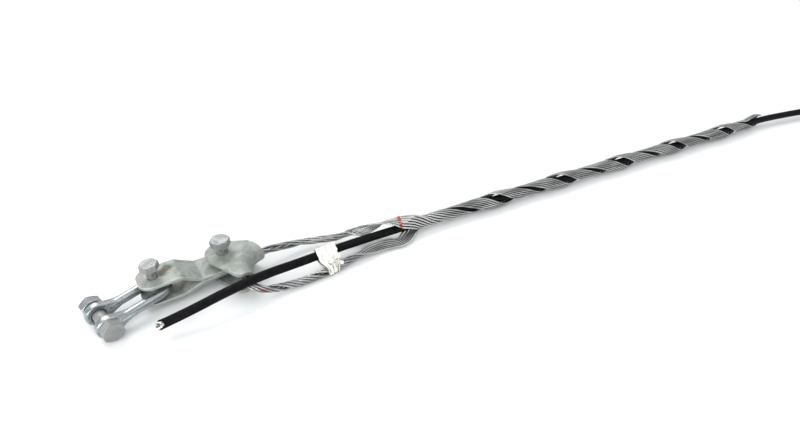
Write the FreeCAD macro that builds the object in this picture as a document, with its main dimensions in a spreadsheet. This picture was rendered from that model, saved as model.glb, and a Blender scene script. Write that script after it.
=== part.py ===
# Cable dead-end assembly: shackle, link, thimble, helical wire grip and the cable that it holds.
# Lengths in mm. X runs along the grip towards the span, Z is up, and the origin is the shackle pin.
import FreeCAD, Part
import math
import os
import Sketcher
from FreeCAD import Placement, Rotation, Vector

# Sizes, each with one word as its name
SIZES = {
    "floor_level": -12.5,
    "bar_radius": 5.0,
    "bow_radius": 12.0,
    "bow_ahead": 53.4,
    "shackle_yaw": 20.8,
    "shackle_rise": 3.9,
    "eye_radius": 11.8,
    "eye_width": 8.0,
    "eye_bore": 7.4,
    "web_reach": 25.0,
    "pin_radius": 6.5,
    "pin_flats": 19.5,
    "pin_head": 8.4,
    "pin_nut": 10.0,
    "pin_slack": 4.0,
    "pin_tip": 3.0,
    "pin_turn": 30.0,
    "seat_gap": 0.2,
    "link_pitch": 70.95,
    "link_yaw": 7.12,
    "link_end": 15.5,
    "link_half": 16.8,
    "link_corner": 13.0,
    "sheet_gauge": 3.5,
    "stack_middle": 6.2,
    "stack_height": 25.0,
    "meet_level": 3.9,
    "joggle_start": 24.0,
    "joggle_stop": 43.5,
    "link_screw": 5.0,
    "link_flats": 16.5,
    "link_head": 6.6,
    "thimble_screw": 6.0,
    "thimble_flats": 18.5,
    "thimble_head": 7.5,
    "screw_play": 0.2,
    "link_length": 42.0,
    "thimble_length": 40.5,
    "screw_nut": 6.0,
    "cheek_radius": 18.0,
    "saddle_radius": 24.7,
    "saddle_ahead": 46.8,
    "saddle_aside": -32.3,
    "wire_half": 1.05,
    "wire_space": 2.56,
    "strand_radius": 3.25,
    "lay_pitch": 102.2,
    "lay_start": 403.5,
    "lay_thin": 6.55,
    "lay_thick": 9.25,
    "axis_side": 7.6,
    "axis_slope": 0.0045,
    "axis_height": 10.6,
    "grip_end": 948.0,
    "cable_start": 353.0,
    "cable_radius": 4.8,
    "core_radius": 3.2,
    "rod_radius": 1.3,
    "tape_gauge": 1.0,
    "parting": 0.45,
}

doc = FreeCAD.newDocument("DeadEnd")
sheet = doc.addObject("Spreadsheet::Sheet", "Sizes")
for row, word in enumerate(SIZES, 1):
    sheet.set(f"A{row}", word)
    sheet.set(f"B{row}", str(SIZES[word]))
    sheet.setAlias(f"B{row}", word)
doc.recompute()
size = {word: float(sheet.get(word)) for word in SIZES}
parts = []


# Helpers
def primitive(kind, label, base=(0, 0, 0), axis=(0, 0, 1), angle=0, **bound):
    solid = doc.addObject("Part::" + kind, label)
    solid.Placement = Placement(Vector(*base), Rotation(Vector(*axis), angle))
    for name, expression in bound.items():
        solid.setExpression(name, expression)
    return solid


def joined(label, *shapes):
    fuse = doc.addObject("Part::MultiFuse", label)
    fuse.Shapes = list(shapes)
    fuse.Refine = True
    return fuse


def shared(label, *shapes):
    common = doc.addObject("Part::MultiCommon", label)
    common.Shapes = list(shapes)
    return common


def without(label, base, tool):
    cut = doc.addObject("Part::Cut", label)
    cut.Base = base
    cut.Tool = tool
    return cut


def eased(kind, label, base, radius, chosen):
    doc.recompute()
    fillet = doc.addObject("Part::" + kind, label)
    fillet.Base = base
    edges = enumerate(base.Shape.Edges, 1)
    fillet.Edges = [(i, radius, radius) for i, edge in edges if chosen(edge)]
    return fillet


def outline(label, points, placement):
    sketch = doc.addObject("Sketcher::SketchObject", label)
    sketch.Placement = placement
    corners = [Vector(x, y, 0) for x, y in points]
    for i, corner in enumerate(corners):
        sketch.addGeometry(Part.LineSegment(corner, corners[(i + 1) % len(corners)]))
    for i, corner in enumerate(corners):
        sketch.addConstraint(Sketcher.Constraint("Coincident", i - 1 if i else len(corners) - 1, 2, i, 1))
        sketch.addConstraint(Sketcher.Constraint("DistanceX", -1, 1, i, 1, corner.x))
        sketch.addConstraint(Sketcher.Constraint("DistanceY", -1, 1, i, 1, corner.y))
    return sketch


def extruded(label, sketch, direction, length):
    solid = doc.addObject("Part::Extrusion", label)
    solid.Base = sketch
    solid.DirMode = "Custom"
    solid.Dir = Vector(*direction)
    solid.Solid = True
    solid.setExpression("LengthFwd", length)
    return solid


def finished(node, solid, placement):
    solid.Label = node
    solid.Placement = placement
    parts.append(solid)


def shaped(node, shape, placement=Placement()):
    solid = doc.addObject("Part::Feature", node)
    solid.Shape = shape
    finished(node, solid, placement)


# Hexagon with its corners turned off at one face or at both
def hexagon(label, flats, height, base, both):
    prism = primitive("Prism", label + "_prism", base, Circumradius=f"Sizes.{flats} / sqrt(3)",
                      Height=f"Sizes.{height}")
    prism.Polygon = 6
    wide = f"Sizes.{flats} * 0.48 + Sizes.{height} * 1.732"
    cones = [primitive("Cone", label + "_cone", base, Radius1=wide, Radius2=f"Sizes.{flats} * 0.48",
                       Height=f"Sizes.{height}")]
    if both:
        cones.append(primitive("Cone", label + "_under", base, Radius1=f"Sizes.{flats} * 0.48", Radius2=wide,
                               Height=f"Sizes.{height}"))
    return shared(label, prism, *cones)


# Bolt along Z: its head above head_level, its tip with a turned point
def bolt(node, radius, flats, head, head_level, length, placement):
    shank = primitive("Cylinder", node + "_shank", (0, 0, head_level - length + 1.2), Radius=f"Sizes.{radius}")
    shank.Height = length - 1.2
    point = primitive("Cone", node + "_point", (0, 0, head_level - length), Radius1=f"Sizes.{radius} - 1.2",
                      Radius2=f"Sizes.{radius}")
    point.Height = 1.2
    hexed = hexagon(node + "_head", flats, head, (0, 0, head_level), False)
    finished(node, joined(node, shank, point, hexed), placement)


def nut(node, radius, flats, height, level, placement):
    hexed = hexagon(node + "_hexagon", flats, height, (0, 0, level), True)
    thread = primitive("Cylinder", node + "_thread", (0, 0, level - 1), Radius=f"Sizes.{radius} + 0.03",
                       Height=f"Sizes.{height} + 2")
    finished(node, without(node, hexed, thread), placement)


# Frames of the swinging pieces
def turned(point, yaw):
    return Placement(point, Rotation(Vector(0, 0, 1), yaw))


shackle_frame = turned(Vector(), size["shackle_yaw"]).multiply(
    Placement(Vector(), Rotation(Vector(0, 1, 0), -size["shackle_rise"])))
# The link bolt lies in the hollow of the bow
link_ahead = size["bow_ahead"] + size["bow_radius"] - size["bar_radius"] - size["link_screw"] - size["seat_gap"]
link_point = turned(Vector(), size["shackle_yaw"]).multVec(Vector(link_ahead, 0, 0))
link_frame = turned(link_point, size["link_yaw"])
thimble_point = link_frame.multVec(Vector(size["link_pitch"], 0, 0))
thimble_frame = turned(thimble_point, 0)
saddle = Vector(size["saddle_ahead"], size["saddle_aside"], 0)

# Shackle: a bow, two legs, and two eyes with flared webs
leg_side = size["bow_radius"]
bow = primitive("Torus", "bow", (size["bow_ahead"], 0, 0), (0, 0, 1), -90, Radius1="Sizes.bow_radius",
                Radius2="Sizes.bar_radius", Angle3="180")
# A parting line is left on the outside of the forging
edge_ring = primitive("Cylinder", "bow_edge", (size["bow_ahead"], 0, -0.7), (0, 0, 1), -90,
                      Radius="Sizes.bow_radius + Sizes.bar_radius + Sizes.parting", Height="1.4", Angle="180")
edge_hole = primitive("Cylinder", "bow_edge_hole", (size["bow_ahead"], 0, -2), Radius="Sizes.bow_radius",
                      Height="4")
pieces = [bow, without("bow_ridge", edge_ring, edge_hole)]
for side, name in ((-1, "near"), (1, "far")):
    pieces.append(primitive("Cylinder", name + "_leg", (12, side * leg_side, 0), (0, 1, 0), 90,
                            Radius="Sizes.bar_radius", Height="Sizes.bow_ahead - 12"))
    outer = side * leg_side + size["eye_width"] / 2
    eye = primitive("Cylinder", name + "_eye", (0, outer, 0), (1, 0, 0), 90, Radius="Sizes.eye_radius",
                    Height="Sizes.eye_width")
    lean = math.acos(size["eye_radius"] / size["web_reach"])
    flank = Vector(size["eye_radius"] * math.cos(lean), size["eye_radius"] * math.sin(lean), 0)
    neck = size["bar_radius"] * 0.7
    waist = (flank.x + size["web_reach"]) / 2
    hollow = (flank.y + neck) / 2 - 0.8
    tongue = [(flank.x, flank.y), (waist, hollow), (size["web_reach"], neck), (size["web_reach"], -neck),
              (waist, -hollow), (flank.x, -flank.y), (0, -5), (0, 5)]
    standing = Placement(Vector(0, outer, 0), Rotation(Vector(1, 0, 0), 90))
    web = extruded(name + "_web", outline(name + "_tongue", tongue, standing), (0, -1, 0), "Sizes.eye_width")
    plate = joined(name + "_plate", eye, web)
    pieces.append(eased("Fillet", name + "_rim", plate, 2.0, lambda edge: edge.BoundBox.YLength < 0.01))
    ridge = primitive("Box", name + "_ridge", (size["web_reach"], side * leg_side - 0.5, -0.7),
                      Length="Sizes.bow_ahead - Sizes.web_reach", Height="1.4")
    ridge.setExpression("Width", "Sizes.bar_radius + Sizes.parting + 0.5")
    if side < 0:
        ridge.Placement.Base.y = side * leg_side + 0.5 - size["bar_radius"] - size["parting"] - 0.5
    pieces.append(ridge)
pin_bore = primitive("Cylinder", "pin_bore", (0, 40, 0), (1, 0, 0), 90, Radius="Sizes.eye_bore")
pin_bore.Height = 80
finished("shackle", without("shackle", joined("forging", *pieces), pin_bore), shackle_frame)

# Shackle bolt across the eyes, its head on the near side
eye_face = leg_side + size["eye_width"] / 2
pin_reach = 2 * eye_face + size["pin_slack"] + size["pin_nut"] + size["pin_tip"]
across = shackle_frame.multiply(Placement(Vector(0, -eye_face, 0), Rotation(Vector(1, 0, 0), 90))).multiply(
    Placement(Vector(), Rotation(Vector(0, 0, 1), size["pin_turn"])))
bolt("shackle_bolt", "pin_radius", "pin_flats", "pin_head", 0, pin_reach, across)
nut_level = size["pin_slack"] + 2 * eye_face
nut("shackle_nut", "pin_radius", "pin_flats", "pin_nut", -nut_level - size["pin_nut"], across)

# Link: two joggled plates that spread round the bow and meet between the cheeks
gauge = size["sheet_gauge"]
spread = size["stack_height"] / 2
reach = size["link_pitch"] + size["link_end"] + 2
stack = size["stack_middle"]
meet = size["meet_level"]


def bores(node, wide_radius):
    close = primitive("Cylinder", node + "_bore", (0, 0, -30), Radius="Sizes.link_screw + Sizes.screw_play")
    apart = primitive("Cylinder", node + "_bore_far", (size["link_pitch"], 0, -30), Radius=wide_radius)
    close.Height = 60
    apart.Height = 60
    return joined(node + "_bores", close, apart)


for node, way in (("link_plate_upper", 1), ("link_plate_lower", -1)):
    outside = stack + way * spread
    inside = outside - way * gauge
    course = [(-20, outside), (size["joggle_start"], outside), (size["joggle_stop"], meet + way * gauge),
              (reach, meet + way * gauge), (reach, meet), (size["joggle_stop"] - 1, meet),
              (size["joggle_start"] - 1, inside), (-20, inside)]
    standing = Placement(Vector(0, 25, 0), Rotation(Vector(1, 0, 0), 90))
    bent = extruded(node + "_bent", outline(node + "_course", course, standing), (0, -1, 0), "50")
    soft = eased("Fillet", node + "_soft", bent, 5.0, lambda edge: edge.BoundBox.YLength > 40
                 and size["joggle_start"] - 3 < edge.BoundBox.XMin < size["joggle_stop"] + 3)
    slab = primitive("Box", node + "_slab", (-size["link_end"], -size["link_half"], -30),
                     Length="Sizes.link_pitch + 2 * Sizes.link_end", Width="2 * Sizes.link_half", Height="60")
    plan = eased("Fillet", node + "_plan", slab, size["link_corner"], lambda edge: edge.BoundBox.ZLength > 50)
    blank = shared(node + "_blank", soft, plan)
    finished(node, without(node, blank, bores(node, "Sizes.thimble_screw + Sizes.screw_play")), link_frame)

# Bolts that stand on their tips, each with a thin nut under the stack
for node, frame in (("link", link_frame), ("thimble", thimble_frame)):
    length = size[node + "_length"]
    seat = size["floor_level"] + length
    bolt(node + "_bolt", node + "_screw", node + "_flats", node + "_head", seat, length, frame)
    nut(node + "_nut", node + "_screw", node + "_flats", "screw_nut", stack - spread - size["screw_nut"], frame)

# Thimble: a sheet folded round the saddle, its two cheeks running to the bolt
crease = size["saddle_radius"] + spread
profile = doc.addObject("Sketcher::SketchObject", "fold_profile")
profile.Placement = Placement(Vector(0, 0, 0), Rotation(Vector(1, 0, 0), 90))
rim = saddle.Length + 2 * size["cheek_radius"]
inner = spread - gauge
middle_point = Vector(crease, 0, 0)
for radius in (spread, inner):
    circle = Part.Circle(middle_point, Vector(0, 0, 1), radius)
    profile.addGeometry(Part.ArcOfCircle(circle, math.pi / 2, math.pi * 3 / 2))
for way in (1, -1):
    corners = [(crease, way * spread), (rim, way * spread), (rim, way * inner), (crease, way * inner)]
    for a, b in zip(corners, corners[1:]):
        profile.addGeometry(Part.LineSegment(Vector(*a, 0), Vector(*b, 0)))
for index, word, expression in ((0, "outside", "Sizes.stack_height / 2"),
                                (1, "inside", "Sizes.stack_height / 2 - Sizes.sheet_gauge")):
    number = profile.addConstraint(Sketcher.Constraint("Radius", index, (spread, inner)[index]))
    profile.renameConstraint(number, word)
    profile.setExpression("Constraints." + word, expression)
folded = doc.addObject("Part::Revolution", "folded")
folded.Source = profile
folded.Axis = Vector(0, 0, 1)
folded.Angle = 360
folded.Solid = True
folded.Placement = Placement(saddle + Vector(0, 0, stack), Rotation())
doc.recompute()

near_horn = Vector(7.5, -46.5, 0)
far_horn = Vector(29.1, 7.6, 0)
near_fold = Vector(22.6, -39.4, 0)
far_fold = Vector(40.9, -7.8, 0)


def touch(point, side):
    turn = math.atan2(point.y, point.x) + side * math.acos(size["cheek_radius"] / point.Length)
    return size["cheek_radius"] * math.cos(turn), size["cheek_radius"] * math.sin(turn)


def inward(fold, horn):
    beyond = fold + (fold - horn) * 0.6
    return beyond.x, beyond.y


cheek_points = [touch(near_horn, -1), (near_horn.x, near_horn.y), inward(near_fold, near_horn),
                (saddle.x, saddle.y), inward(far_fold, far_horn), (far_horn.x, far_horn.y),
                touch(far_horn, 1), (0, 0)]
flanks = extruded("flanks", outline("flank_lines", cheek_points, Placement(Vector(0, 0, -30), Rotation())),
                  (0, 0, 1), "60")
head_end = primitive("Cylinder", "head_end", (0, 0, -30), Radius="Sizes.cheek_radius", Height="60")
cheek_plan = joined("cheek_plan", flanks, head_end)
cheek_soft = eased("Fillet", "cheek_soft", cheek_plan, 7.0, lambda edge: edge.BoundBox.ZLength > 50 and min(
    (edge.BoundBox.Center - point).Length for point in (near_horn, far_horn)) < 1.0)
cheek_bore = primitive("Cylinder", "cheek_bore", (0, 0, -30), Radius="Sizes.thimble_screw + Sizes.screw_play",
                       Height="60")
finished("thimble", without("thimble", shared("cheeks", folded, cheek_soft), cheek_bore), thimble_frame)

# Course of the six wires. Each station holds the core of the lay, its turn, its offset and its curvature
floor = size["floor_level"]
side = size["axis_side"]
level = floor + size["axis_height"]
pitch = size["lay_pitch"]
thin = size["lay_thin"]
thick = size["lay_thick"]
saddle_point = thimble_point + saddle
bight_radius = size["saddle_radius"] + gauge + 5.4


def between(keys, at):
    for (p, a), (q, b) in zip(keys, keys[1:]):
        if at <= q:
            return a + (b - a) * (at - p) / (q - p)
    return keys[-1][1]


# The lay swells where the two ribbons part widest, and falls in more sharply than it rises
SWELL = ((0.0, 1.0), (0.1, 0.72), (0.24, 0.12), (0.45, 0.0), (0.6, 0.12), (0.8, 0.62), (0.92, 0.95), (1.0, 1.0))


def lay_radius(x):
    phase = ((x - size["lay_start"]) / pitch - 0.5) % 1.0
    swell = between(SWELL, phase) if size["lay_start"] - 3.5 < x < size["grip_end"] - 23 else 0.0
    return thin + (thick - thin) * swell


def lay_angle(x):
    return 410.4 + 360 * (x - size["lay_start"]) / pitch


def blend(points, spacing):
    out = []
    last = len(points) - 1
    for i in range(last):
        four = [points[max(i - 1, 0)], points[i], points[i + 1], points[min(i + 2, last)]]
        cuts = max(1, round(math.dist(four[1][:3], four[2][:3]) / spacing))
        for k in range(cuts):
            t = k / cuts
            out.append([(2 * b + (c - a) * t + (2 * a - 5 * b + 4 * c - d) * t * t
                         + (3 * b - a - 3 * c + d) * t ** 3) / 2 for a, b, c, d in zip(*four)])
    out.append(list(points[-1]))
    return out


def axis_at(x):
    return Vector(x, side + size["axis_slope"] * (x - size["cable_start"]), level)


# Towards the fork the first ribbon rises and lies flat, and its free end lifts off the cable
FORK_FIRST = ((318, 0.6), (340, 0.6), (355, 0.3), (400, 0.0))
FORK_SECOND = ((318, 4.2), (328, 3.0), (340, 1.4), (355, 0.4), (390, 0.1), (400, 0.0))
RISE = ((318, 4.8), (335, 4.0), (346, 2.0), (357, 0.7), (370, 0.0))
FLAT = ((318, 0.35), (337, 0.45), (350, 0.8), (362, 1.0))
ARCH = ((-31, 0.0), (-16, 3.0), (-8, 3.8), (0, 2.2))


def on_axis(x, turn, first):
    radius = lay_radius(x) + between(FORK_FIRST if first else FORK_SECOND, x)
    if not first:
        return [*axis_at(x), turn, radius, 1 / radius]
    centre = axis_at(x) + Vector(0, 0, between(RISE, x))
    arch = between(ARCH, max(x - size["grip_end"], -31))
    return [*centre, turn, radius + arch, between(FLAT, x) / radius]


# First helix, from its free end to the crotch
step = pitch / 9
course = []
x = size["grip_end"]
while x > 318:
    lag = between(((318, 4), (323, 6), (335, 22), (346, 24), (357, 12), (369, 0)), x)
    course.append(on_axis(x, 90 - lay_angle(min(x, size["grip_end"] - 36)) + lag, True))
    x -= step
# Ribbon and far leg, round the saddle, near leg and ribbon: x, y, height, turn, offset and curvature
opening = course[-1][3]
ribbon_out = [(306, 11.6, 15.8, 20, 5.5, 0.07), (298, 13.0, 17.8, 47, 2.6, 0.08),
              (289, 14.9, 17.2, 72, 2.0, 0.09), (280, 16.9, 15.8, 104, 2.0, 0.12),
              (270, 19.7, 14.0, 148, 2.4, 0.2), (260, 24.2, 11.6, 200, 2.9, 0.29)]
strand = [(244.6, 27.2, 8.5), (228, 31.2, 8.6), (212, 33.2, 9.4), (197, 33.2, 11.2), (183, 31.4, 13.8)]
for angle in (88, 101, 114, 127, 140, 153, 166, 179, 191):
    arm = turned(Vector(), angle).multVec(Vector(bight_radius, 0, 0))
    strand.append((saddle_point.x + arm.x, saddle_point.y + arm.y, 16.3))
strand += [(138.6, -17.2, 14.6), (145.6, -21.6, 11.6), (156, -23.9, 8.6), (169, -24.6, 6.6),
           (187.3, -24.2, 5.4), (207.8, -22.3, 5.2), (222.5, -19.8, 5.3), (237, -16.6, 5.6)]
ribbon_back = [(249, -13.6, 6.4, 1190, 3.2, 0.29), (261, -10.8, 7.4, 1233, 3.6, 0.18),
               (274, -8.7, 8.8, 1266, 4.0, 0.08), (288, -8.4, 9.4, 1280, 4.6, 0.05),
               (302, -8.2, 9.4, 1276, 5.6, 0.05), (314, -7.4, 9.2, 1266, 6.5, 0.05),
               (322, -4.0, 9.6, 1262, 7.1, 0.06), (330, 2.2, 10.1, 1262, 7.8, 0.08)]
lengths = [0.0]
trail = [ribbon_out[-1][:3]] + strand + [ribbon_back[0][:3]]
for a, b in zip(trail, trail[1:]):
    lengths.append(lengths[-1] + math.dist(a, b))
rate = (ribbon_back[0][3] - ribbon_out[-1][3]) / lengths[-1]
bend = 1 / size["strand_radius"]
strand = [(*point, ribbon_out[-1][3] + rate * length, size["strand_radius"], bend)
          for point, length in zip(strand, lengths[1:])]
loop = [(*point[:2], floor + point[2], *point[3:]) for point in ribbon_out + strand + ribbon_back]
course += blend([course[-1], *loop], 9.5)[1:]
# Second helix, from the crotch to its free end
x = 337.0
while x <= size["grip_end"]:
    lag = between(((336, 82), (341, 62), (346, 44), (351, 27), (357, 13), (364, 3), (370, 0)), x)
    course.append(on_axis(x, lay_angle(x) + 180 - 90 + 1080 - lag, False))
    x += step
print("turns", round(opening), [round(row[3]) for row in course if 320 < row[0] < 360])

centres = [Vector(*row[:3]) for row in course]
frames = []
for i, row in enumerate(course):
    ahead = (centres[min(i + 1, len(centres) - 1)] - centres[max(i - 1, 0)]).normalize()
    left = Vector(0, 0, 1).cross(ahead).normalize()
    up = ahead.cross(left)
    angle = math.radians(row[3])
    wide = left * math.cos(angle) + up * math.sin(angle)
    frames.append((wide, wide.cross(ahead)))
middles = [centre - frame[1] * row[4] for centre, frame, row in zip(centres, frames, course)]


# Flat triangles between rings of corners, closed at both ends
def skin(rings):
    corners = []
    for a, b in zip(rings, rings[1:]):
        for k in range(len(a)):
            q = (k + 1) % len(a)
            corners += [(a[k], a[q], b[q]), (a[k], b[q], b[k])]
    faces = [Part.Face(Part.makePolygon([*three, three[0]])) for three in corners]
    faces += [Part.Face(Part.makePolygon(ring + ring[:1])) for ring in (rings[0], rings[-1])]
    return Part.makeSolid(Part.makeShell(faces))


# The wires lie apart where the two ribbons fork
PARTED = ((0, 1.0), (312, 1.0), (322, 1.16), (360, 1.22), (380, 1.05), (400, 1.0))


def wire_solid(index):
    rings = []
    half = size["wire_half"]
    for i, row in enumerate(course):
        wide, toward = frames[i]
        way = (middles[min(i + 1, len(middles) - 1)] - middles[max(i - 1, 0)]).normalize()
        square = (wide - way * wide.dot(way)).Length
        space = size["wire_space"] / square * between(PARTED, row[0])
        lean = min(math.asin(min(space * row[5] / 2, 0.5)), math.pi / 6)
        angle = (index - 2.5) * 2 * lean
        point = middles[i] + (wide * math.sin(angle) + toward * (1 - math.cos(angle))) * (1 / row[5])
        flat = wide * math.cos(angle) + toward * math.sin(angle)
        flat = (flat - way * flat.dot(way)).normalize() * half
        tall = way.cross(flat).normalize() * half
        rings.append([point + flat + tall, point - flat + tall, point - flat - tall, point + flat - tall])
    return skin(rings)


for index in range(6):
    shaped(f"grip_wire_{index + 1}", wire_solid(index))


# Cable: straight runs and tangent arcs
def route(points, shares):
    edges = []
    start = points[0]
    for i in range(1, len(points) - 1):
        before = (points[i - 1] - points[i]).normalize()
        after = (points[i + 1] - points[i]).normalize()
        half = (math.pi - before.getAngle(after)) / 2
        shorter = min((points[i - 1] - points[i]).Length, (points[i + 1] - points[i]).Length)
        setback = 0.45 * shorter
        radius = setback / math.tan(half)
        print(shares, i, "radius", round(radius, 1))
        begin = points[i] + before * setback
        end = points[i] + after * setback
        hub = points[i] + (before + after).normalize() * (radius / math.cos(half))
        crown = hub + (points[i] - hub).normalize() * radius
        edges.append(Part.makeLine(start, begin))
        edges.append(Part.Arc(begin, crown, end).toShape())
        start = end
    edges.append(Part.makeLine(start, points[-1]))
    return Part.Wire(edges)


def tube(points, radius, name):
    line = route(points, name)
    way = (points[1] - points[0]).normalize()
    left = Vector(0, 0, 1).cross(way).normalize()
    up = way.cross(left)
    turns = [k * math.pi / 6 for k in range(13)]
    ring = Part.makePolygon([points[0] + (left * math.cos(a) + up * math.sin(a)) * radius for a in turns])
    return line.makePipeShell([ring], True, False)


def above(x, y, z):
    return Vector(x, y, floor + z)


cable_end = 945.0
gripped = primitive("Cylinder", "gripped", Radius="Sizes.cable_radius",
                    Height=f"{cable_end} - Sizes.cable_start")
start = axis_at(size["cable_start"])
stop = axis_at(cable_end)
finished("cable_gripped", gripped, Placement(start, Rotation(Vector(0, 0, 1), stop - start)))
tail = [start, above(300, 6.6, 10.8), above(244, 3.2, 12.3), above(196, -7.3, 17.0), above(152, -18.5, 24.5),
        above(112, -25.5, 22.9), above(75, -30.4, 17.2), above(52.5, -32.0, 14.1)]
span = [stop, axis_at(962), above(1032, 1.4, 10.6), above(1099, -8.6, 10.9)]
shaped("cable_tail", tube(tail, size["cable_radius"], "tail"))
shaped("cable_span", tube(span, size["cable_radius"], "span"))

# Bared end of the tail: yarns and the stub of the strength rod
out = (tail[-1] - tail[-2]).normalize()
core = primitive("Cylinder", "core", Radius="Sizes.core_radius")
core.Height = 3.0
finished("cable_core", core, Placement(tail[-1], Rotation(Vector(0, 0, 1), out)))
rod = primitive("Cylinder", "rod", Radius="Sizes.rod_radius")
rod.Height = 4.0
finished("strength_rod", rod, Placement(tail[-1] + out * 3.0, Rotation(Vector(0, 0, 1), out)))


# Tape that ties the tail to the near leg: a sleeve on each and two straps between them
def sleeve(a, b, inside, gauge):
    outer = Part.makeCylinder(inside + gauge, (b - a).Length, a, b - a)
    return outer.cut(Part.makeCylinder(inside, (b - a).Length, a, b - a))


tape = sleeve(above(237, 1.9, 12.9), above(214, -3.3, 15.2), size["cable_radius"] + 0.4, size["tape_gauge"])
tape = tape.fuse(sleeve(above(236, -16.9, 5.85), above(216, -21.0, 5.75), 5.1, 0.6))
for x, wide in ((220.0, 7.0), (230.5, 6.0)):
    upper = above(x, -7.0 + (x - 220) * 0.2, 12.4)
    lower = above(x + 1, -15.5 + (x - 220) * 0.2, 8.3)
    strap = Part.makeBox(wide, (upper - lower).Length, 1.4)
    strap.Placement = Placement(lower + Vector(-wide / 2, 0, -0.7), Rotation(Vector(0, 1, 0), upper - lower))
    tape = tape.fuse(strap)
shaped("tie_tape", tape)

# Checks and files
doc.recompute()
os.makedirs("parts", exist_ok=True)
total = 0
for part in parts:
    problems = [] if part.Shape.isValid() and part.Shape.Volume > 0 else ["shape"]
    if "Invalid" in part.State or "Error" in part.State or problems:
        raise RuntimeError(f"{part.Label} isn't sound: {part.State} {problems}")
    if len(part.Shape.Solids) != 1:
        raise RuntimeError(f"{part.Label} has {len(part.Shape.Solids)} solids")
    facets = len(part.Shape.tessellate(0.2)[1])
    total += facets
    box = part.Shape.BoundBox
    bounds = (box.XMin, box.YMin, box.ZMin, box.XMax, box.YMax, box.ZMax)
    print(part.Label, facets, [round(v, 1) for v in bounds])
    part.Shape.exportStep(f"parts/{part.Label}.step")
print("facets", total)
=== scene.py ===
# Looks of the cable dead-end assembly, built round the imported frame.
# Lengths are in mm until MM turns them into metres, and the angles in tables are in degrees.
import math

import bpy
from mathutils import Euler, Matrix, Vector, noise


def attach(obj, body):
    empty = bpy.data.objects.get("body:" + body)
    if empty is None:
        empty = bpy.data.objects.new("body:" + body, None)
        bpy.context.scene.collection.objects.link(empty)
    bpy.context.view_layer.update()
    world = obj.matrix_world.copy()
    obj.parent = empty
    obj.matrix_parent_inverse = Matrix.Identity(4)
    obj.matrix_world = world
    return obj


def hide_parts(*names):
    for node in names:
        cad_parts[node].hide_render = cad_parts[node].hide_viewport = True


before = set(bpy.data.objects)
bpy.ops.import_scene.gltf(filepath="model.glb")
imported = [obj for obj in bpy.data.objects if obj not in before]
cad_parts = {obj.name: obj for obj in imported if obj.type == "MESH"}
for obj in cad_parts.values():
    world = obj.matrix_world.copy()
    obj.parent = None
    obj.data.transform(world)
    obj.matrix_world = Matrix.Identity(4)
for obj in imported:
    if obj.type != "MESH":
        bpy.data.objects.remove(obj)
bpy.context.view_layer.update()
MM = 0.001
FLOOR = -12.5
UP = Vector((0, 0, 1))

# Blender's vector noise starts from the clock unless it is seeded, and it crumples the tape
NOISE_SEED = 1
noise.seed_set(NOISE_SEED)

# Camera at the photograph's place
CAMERA_AT = (89.3, -463.6, 398.5)
CAMERA_YAW = 63.95
CAMERA_DIP = 35.8
LENS = 25.4
SENSOR = 36.0
NEAREST = 10.0

camera = bpy.data.objects.new("camera", bpy.data.cameras.new("camera"))
camera.data.lens = LENS
camera.data.sensor_width = SENSOR
camera.data.clip_start = NEAREST * MM
camera.location = Vector(CAMERA_AT) * MM
camera.rotation_euler = Euler((math.radians(90 - CAMERA_DIP), 0, math.radians(CAMERA_YAW - 90)))
bpy.context.collection.objects.link(camera)
bpy.context.scene.camera = camera


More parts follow.
